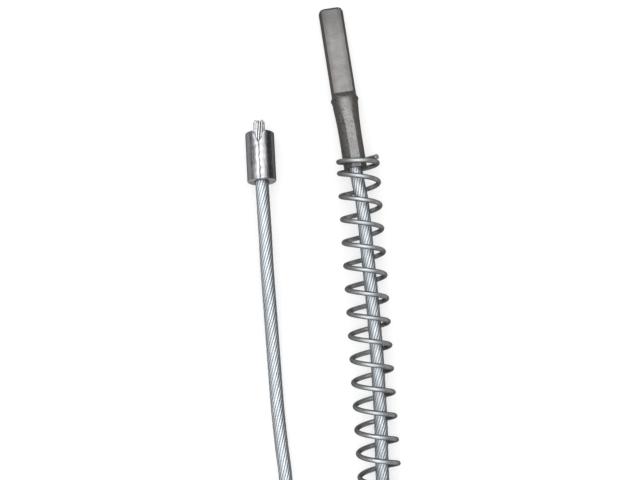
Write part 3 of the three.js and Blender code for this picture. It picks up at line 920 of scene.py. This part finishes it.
def strand_finish():
    """Zinc on drawn wire: pale and cool, each wire a little different, grey in the grooves from grime
    and painted shade, with painted shade down its sides.
    """
    material, tree, shader = metal("zinc_wire", 0.42, (0.4, 0.42, 0.44, 1))
    lines = add_node(tree, "ShaderNodeUVMap", uv_map="along_and_wire")
    split = tree.nodes.new("ShaderNodeSeparateXYZ")
    tree.links.new(lines.outputs[0], split.inputs[0])
    across = math_of(tree, "FRACT", split.outputs[1], 0)
    from_crest = math_of(tree, "ABSOLUTE", math_of(tree, "SUBTRACT", across, 0.5), 0)
    groove = between(tree, from_crest, 0.3, 0.5)
    wire_number = math_of(tree, "FLOOR", split.outputs[1], 0)
    tone = add_node(tree, "ShaderNodeTexWhiteNoise", noise_dimensions="1D")
    tree.links.new(wire_number, tone.inputs["W"])
    stretch = add_node(tree, "ShaderNodeMapping", {"Scale": (260, 9, 1)})
    tree.links.new(lines.outputs[0], stretch.inputs["Vector"])
    grain = use_group(tree, METAL_GRAIN, Vector=stretch.outputs[0], Fine_Scale=3.0, Broad_Scale=0.4)
    colour = mixed(tree, grain.outputs["Broad"], (0.55, 0.59, 0.62, 1), (0.73, 0.77, 0.81, 1))
    colour = mixed(tree, between(tree, tone.outputs[0], 0, 1, 0, 0.4), colour, (0.38, 0.41, 0.43, 1))
    bright_specks = between(tree, grain.outputs["Fine"], 0.5, 1, 0, 0.3)
    colour = mixed(tree, bright_specks, colour, (0.75, 0.77, 0.78, 1))
    # Darker grooves: grime, and painted shade between the wires.
    colour = mixed(tree, between(tree, groove, 0, 1, 0, 0.55), colour, (0.17, 0.19, 0.2, 1))
    # Painted shade round the strand from the stored attribute.
    shaded_colour = use_group(
        tree, PAINTED_SHADE, Colour=colour, Tarnish=painted_shade_of(tree), Mottle=grain.outputs["Broad"],
        Depth=0.8, Tint=(0.9, 0.95, 1.0, 1),
    )
    tree.links.new(shaded_colour.outputs[0], shader.inputs["Base Color"])
    tree.links.new(between(tree, grain.outputs["Fine"], 0, 1, 0.4, 0.55), shader.inputs["Roughness"])
    return material


def wire_finish(name, pale, grey, roughness, depth, tint):
    """Drawn wire on its own: streaks run along it, and painted shade darkens its sides."""
    material, tree, shader = metal(name, roughness, (0.36, 0.34, 0.32, 1))
    lines = add_node(tree, "ShaderNodeUVMap", uv_map="along_and_round")
    stretch = add_node(tree, "ShaderNodeMapping", {"Scale": (300, 12, 1)})
    tree.links.new(lines.outputs[0], stretch.inputs["Vector"])
    grain = use_group(tree, METAL_GRAIN, Vector=stretch.outputs[0], Fine_Scale=2.5, Broad_Scale=0.5)
    colour = mixed(tree, grain.outputs["Broad"], grey, pale)
    # Painted shade from the stored attribute.
    shaded_colour = use_group(
        tree, PAINTED_SHADE, Colour=colour, Tarnish=painted_shade_of(tree), Mottle=grain.outputs["Fine"],
        Depth=depth, Tint=tint,
    )
    tree.links.new(shaded_colour.outputs[0], shader.inputs["Base Color"])
    tree.links.new(
        between(tree, grain.outputs["Fine"], 0, 1, roughness - 0.08, roughness + 0.08),
        shader.inputs["Roughness"],
    )
    bump(tree, shader, grain.outputs["Fine"], 0.03 * MM, 0.8)
    return material


def stop_finish():
    """Crimped strip: press marks along it, and painted shade on its flanks, deeper on the right, so that
    it is bright on its crests.
    """
    material, tree, shader = metal("crimped_strip", 0.3, (0.3, 0.3, 0.31, 1))
    frame_of_stop = own_coordinates(tree, STOP_PLACE, (1, 1, 0.35))
    grain = use_group(tree, METAL_GRAIN, Vector=frame_of_stop, Fine_Scale=2600.0, Broad_Scale=520.0)
    colour = mixed(tree, grain.outputs["Broad"], (0.4, 0.4, 0.415, 1), (0.54, 0.54, 0.555, 1))
    # Painted shade on the flanks from the stored attribute.
    shaded_colour = use_group(
        tree, PAINTED_SHADE, Colour=colour, Tarnish=painted_shade_of(tree), Mottle=grain.outputs["Broad"],
        Depth=0.85, Tint=(1.0, 0.97, 1.0, 1),
    )
    tree.links.new(shaded_colour.outputs[0], shader.inputs["Base Color"])
    tree.links.new(between(tree, grain.outputs["Fine"], 0, 1, 0.22, 0.4), shader.inputs["Roughness"])
    bump(tree, shader, grain.outputs["Broad"], 0.08 * MM, 0.9)
    return material


def cable_end_finish():
    """Zinc on the strand's end inside the barrel."""
    material, tree, shader = metal("zinc_end", 0.4, (0.4, 0.42, 0.44, 1))
    coordinates = tree.nodes.new("ShaderNodeTexCoord")
    grain = use_group(
        tree, METAL_GRAIN, Vector=coordinates.outputs["Object"], Fine_Scale=3000.0, Broad_Scale=700.0
    )
    colour = mixed(tree, grain.outputs["Broad"], (0.4, 0.42, 0.44, 1), (0.56, 0.59, 0.62, 1))
    tree.links.new(colour, shader.inputs["Base Color"])
    tree.links.new(between(tree, grain.outputs["Fine"], 0, 1, 0.34, 0.5), shader.inputs["Roughness"])
    return material


def tie_finish():
    """Matt black nylon with a faint moulded grain."""
    material = bpy.data.materials.new("black_nylon")
    material.use_nodes = True
    tree = material.node_tree
    shader = tree.nodes["Principled BSDF"]
    coordinates = tree.nodes.new("ShaderNodeTexCoord")
    grain = use_group(
        tree, METAL_GRAIN, Vector=coordinates.outputs["Object"], Fine_Scale=5000.0, Broad_Scale=300.0
    )
    colour = mixed(tree, grain.outputs["Broad"], (0.012, 0.012, 0.013, 1), (0.022, 0.022, 0.023, 1))
    tree.links.new(colour, shader.inputs["Base Color"])
    tree.links.new(between(tree, grain.outputs["Fine"], 0, 1, 0.45, 0.65), shader.inputs["Roughness"])
    bump(tree, shader, grain.outputs["Fine"], 0.02 * MM, 0.5)
    return material


def store_painted_shade(piece, amount):
    """Stores on each corner how much painted shade it takes, from a function of its place and its
    normal.
    """
    mesh = piece.data
    attribute = mesh.attributes.new("painted_shade", "FLOAT", "POINT")
    values = [min(max(amount(v.co, v.normal), 0), 1) for v in mesh.vertices]
    attribute.data.foreach_set("value", values)


def finish(piece, material):
    piece.data.materials.clear()
    piece.data.materials.append(material)


def shade_by_facing(facing, bright_above, dark_below):
    """The share of painted shade: 0 where the surface faces that way more than the first share, 1 where
    less than the second.
    """
    return smooth((bright_above - facing) / (bright_above - dark_below))


def shade_sides(bright_above, dark_below):
    """Painted shade from some way down the sides; none on top."""
    def amount(place, normal):
        return shade_by_facing(normal.z, bright_above, dark_below)
    return amount


# The way that the strand's painted shade is lightest, a little to the left of up.
STRAND_LIT_FROM = Vector((-0.2, 0, 0.98))


def shade_strand(place, normal):
    """Painted shade round the strand, lightest a little to the left of its top."""
    return shade_by_facing(normal.dot(STRAND_LIT_FROM), 1, 0.5)


FITTING_BACK = FITTING_PLACE.inverted()
STEP_REACH = 0.05 * MM      # the step to the collar is painted dark from a little past the tang's end
# The start of the collar takes painted shade, fading out over this length.
RIM_LENGTH = 1.3 * MM
RIM_SHADE = 0.75


def shade_fitting(place, normal):
    """Painted shade: none on the flats; the step to the collar and the flanks are painted dark."""
    along = (FITTING_BACK @ place).z
    turned = FITTING_BACK.to_3x3() @ normal
    if TANG_LENGTH + STEP_REACH < along < COLLAR_START + STEP_REACH:
        return 1
    flank_shade = shade_by_facing(abs(turned.y), 0.98, 0.78)
    if along > COLLAR_START:
        rim = 1 - smooth((along - COLLAR_START) / RIM_LENGTH)
        return max(flank_shade, rim * RIM_SHADE)
    return flank_shade


STOP_BACK = STOP_PLACE.to_3x3().inverted()
# Shares of painted shade on the sheared ends and the left flank.
SHEARED_SHADE = 0.1
LEFT_FLANK_SHADE = 0.7


def shade_stop(place, normal):
    """Painted shade, deeper on the stop's right flank than on its left, and slight on its sheared ends.
    """
    turned = STOP_BACK @ normal
    if abs(turned.z) > 0.6:
        return SHEARED_SHADE
    if turned.x > 0:
        return shade_by_facing(turned.y, 0.97, 0.81)
    return LEFT_FLANK_SHADE * shade_by_facing(turned.y, 0.98, 0.68)


zinc_wire = strand_finish()
finish(strand, zinc_wire)
finish(fitting, fitting_finish())
finish(spring, wire_finish(
    "spring_steel", (0.5, 0.53, 0.55, 1), (0.36, 0.38, 0.39, 1), 0.38, 0.72, (1.0, 0.86, 0.74, 1),
))
finish(stop, stop_finish())
loose_wire = wire_finish(
    "cut_zinc_wire", (0.72, 0.74, 0.75, 1), (0.52, 0.54, 0.55, 1), 0.3, 0.85, (0.9, 0.95, 1.0, 1),
)
# Each piece stores where it takes painted shade, from its normals and place.
for wire in cut_wires:
    finish(wire, loose_wire)
    store_painted_shade(wire, shade_sides(0.75, 0.3))
store_painted_shade(strand, shade_strand)
store_painted_shade(fitting, shade_fitting)
store_painted_shade(spring, shade_sides(0.9, 0.4))
store_painted_shade(stop, shade_stop)
nylon = tie_finish()
for side in ("left", "right"):
    finish(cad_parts[f"coil_tie_{side}"], nylon)
finish(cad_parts["cable_end_in_fitting"], cable_end_finish())


# Floor and light
WHITE_SHARE = 0.65      # how much of the table's look is plain white, the rest takes the shadow
FLOOR_SIZE = 4


def add_floor():
    """A white table top that keeps the object's soft shadow."""
    bpy.ops.mesh.primitive_plane_add(size=FLOOR_SIZE, location=(0, 0, 0))
    floor = bpy.context.object
    floor.name = "floor"
    material = bpy.data.materials.new("white_table")
    material.use_nodes = True
    shader = material.node_tree.nodes["Principled BSDF"]
    shader.inputs["Roughness"].default_value = 0.9
    shader.inputs["Specular IOR Level"].default_value = 0.1
    shader.inputs["Base Color"].default_value = (0.95, 0.95, 0.95, 1)
    tree = material.node_tree
    path = tree.nodes.new("ShaderNodeLightPath")
    seen = math_of(tree, "MAXIMUM", path.outputs["Is Camera Ray"], path.outputs["Is Glossy Ray"])
    seen = math_of(tree, "MAXIMUM", seen, path.outputs["Is Transmission Ray"])
    white = add_node(tree, "ShaderNodeEmission", {"Color": (1, 1, 1, 1), "Strength": 1.0})
    blend = tree.nodes.new("ShaderNodeMixShader")
    tree.links.new(math_of(tree, "MULTIPLY", seen, WHITE_SHARE), blend.inputs[0])
    tree.links.new(shader.outputs[0], blend.inputs[1])
    tree.links.new(white.outputs[0], blend.inputs[2])
    tree.links.new(blend.outputs[0], tree.nodes["Material Output"].inputs["Surface"])
    floor.data.materials.append(material)


LAMPS_AIM = Vector((0, 0, 0))


def add_lamp(name, size, power, place):
    """A soft round lamp that points at the middle of the row frame's floor."""
    lamp_data = bpy.data.lights.new(name, "AREA")
    lamp_data.shape = "DISK"
    lamp_data.size = size
    lamp_data.energy = power
    lamp = bpy.data.objects.new(name, lamp_data)
    lamp.location = place
    lamp.rotation_euler = (LAMPS_AIM - Vector(place)).to_track_quat("-Z", "Y").to_euler()
    bpy.context.scene.collection.objects.link(lamp)


add_floor()
LAMP_HEIGHT = 0.6
add_lamp("small_lamp", 0.44, 0.9, (-0.03, 0.07, LAMP_HEIGHT))
add_lamp("middle_lamp", 1.0, 2.7, (-0.04, 0.04, LAMP_HEIGHT))
add_lamp("broad_lamp", 2.1, 6.0, (-0.03, 0, LAMP_HEIGHT + 0.01))
add_lamp("front_lamp", 0.3, 0.45, (0, -0.5, 0.25))
world = bpy.data.worlds.new("studio")
bpy.context.scene.world = world
world.use_nodes = True
world.node_tree.nodes["Background"].inputs["Color"].default_value = (0.95, 0.97, 1.0, 1)
world.node_tree.nodes["Background"].inputs["Strength"].default_value = 0.2
bpy.context.scene.view_settings.view_transform = "Standard"
